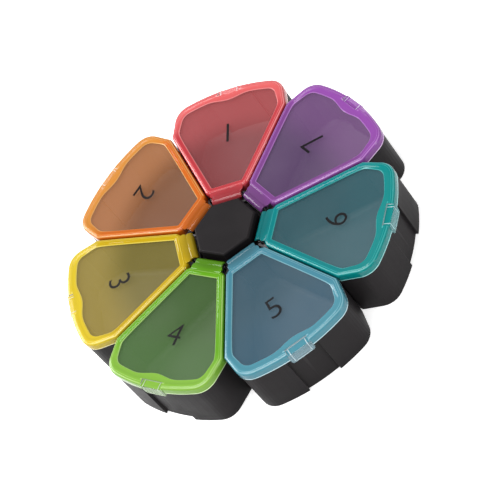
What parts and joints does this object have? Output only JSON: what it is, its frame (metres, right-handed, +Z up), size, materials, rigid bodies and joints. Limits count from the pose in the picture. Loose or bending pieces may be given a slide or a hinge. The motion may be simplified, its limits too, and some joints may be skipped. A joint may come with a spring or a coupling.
{
  "type": "travel pill organizer",
  "caption": "Flower-shaped weekly pill organizer: day cups keyed round a hub, each under a tinted see-through lid that hinges up beside the hub.",
  "frame": {"origin": "centre of the hub's underside, in the plane the organizer rests on", "axes": "+Z up, +Y along the SUN petal (the first day); seen from above the petals run clockwise SUN, SAT, FRI, THU, WED, TUE, MON"},
  "size_m": [0.1176, 0.1169, 0.0216],
  "materials": {
    "base_black": "soft matte black, very fine grain",
    "pin_steel": "plain drawn wire",
    "lid_red": "clear tinted red, glossy border, finely frosted window panel",
    "lid_purple": "clear tinted purple, glossy border, finely frosted window panel",
    "lid_teal": "clear tinted teal, glossy border, finely frosted window panel",
    "lid_blue": "clear tinted blue, glossy border, finely frosted window panel",
    "lid_green": "clear tinted green, glossy border, finely frosted window panel",
    "lid_yellow": "clear tinted yellow, glossy border, finely frosted window panel",
    "lid_orange": "clear tinted orange, glossy border, finely frosted window panel"
  },
  "bodies": {
    "base": {"hub_core": "base_black", "hub_cap": "base_black", "cup_sun": "base_black", "cup_sat": "base_black", "cup_fri": "base_black", "cup_thu": "base_black", "cup_wed": "base_black", "cup_tue": "base_black", "cup_mon": "base_black", "hinge_pin_sun": "pin_steel", "hinge_pin_sat": "pin_steel", "hinge_pin_fri": "pin_steel", "hinge_pin_thu": "pin_steel", "hinge_pin_wed": "pin_steel", "hinge_pin_tue": "pin_steel", "hinge_pin_mon": "pin_steel"},
    "lid_sun": {"lid_sun": "lid_red"},
    "lid_sat": {"lid_sat": "lid_purple"},
    "lid_fri": {"lid_fri": "lid_teal"},
    "lid_thu": {"lid_thu": "lid_blue"},
    "lid_wed": {"lid_wed": "lid_green"},
    "lid_tue": {"lid_tue": "lid_yellow"},
    "lid_mon": {"lid_mon": "lid_orange"}
  },
  "joints": [
    {"name": "sun_lid_hinge", "type": "hinge", "parent": "base", "child": "lid_sun", "pos_m": [0, 0.013, 0.019], "axis": [1, 0, 0], "range_deg": [0, 40]},
    {"name": "sat_lid_hinge", "type": "hinge", "parent": "base", "child": "lid_sat", "pos_m": [0.01016, 0.00811, 0.019], "axis": [-0.6235, 0.7818, 0], "range_deg": [-74, 0]},
    {"name": "fri_lid_hinge", "type": "hinge", "parent": "base", "child": "lid_fri", "pos_m": [0.01267, -0.00289, 0.019], "axis": [-0.2225, -0.9749, 0], "range_deg": [0, 80]},
    {"name": "thu_lid_hinge", "type": "hinge", "parent": "base", "child": "lid_thu", "pos_m": [0.00564, -0.01171, 0.019], "axis": [0.901, 0.4339, 0], "range_deg": [-104, 0]},
    {"name": "wed_lid_hinge", "type": "hinge", "parent": "base", "child": "lid_wed", "pos_m": [-0.00564, -0.01171, 0.019], "axis": [-0.901, 0.4339, 0], "range_deg": [0, 74]},
    {"name": "tue_lid_hinge", "type": "hinge", "parent": "base", "child": "lid_tue", "pos_m": [-0.01267, -0.00289, 0.019], "axis": [0.2225, -0.9749, 0], "range_deg": [-74, 0]},
    {"name": "mon_lid_hinge", "type": "hinge", "parent": "base", "child": "lid_mon", "pos_m": [-0.01016, 0.00811, 0.019], "axis": [0.6235, 0.7818, 0], "range_deg": [0, 104]}
  ]
}
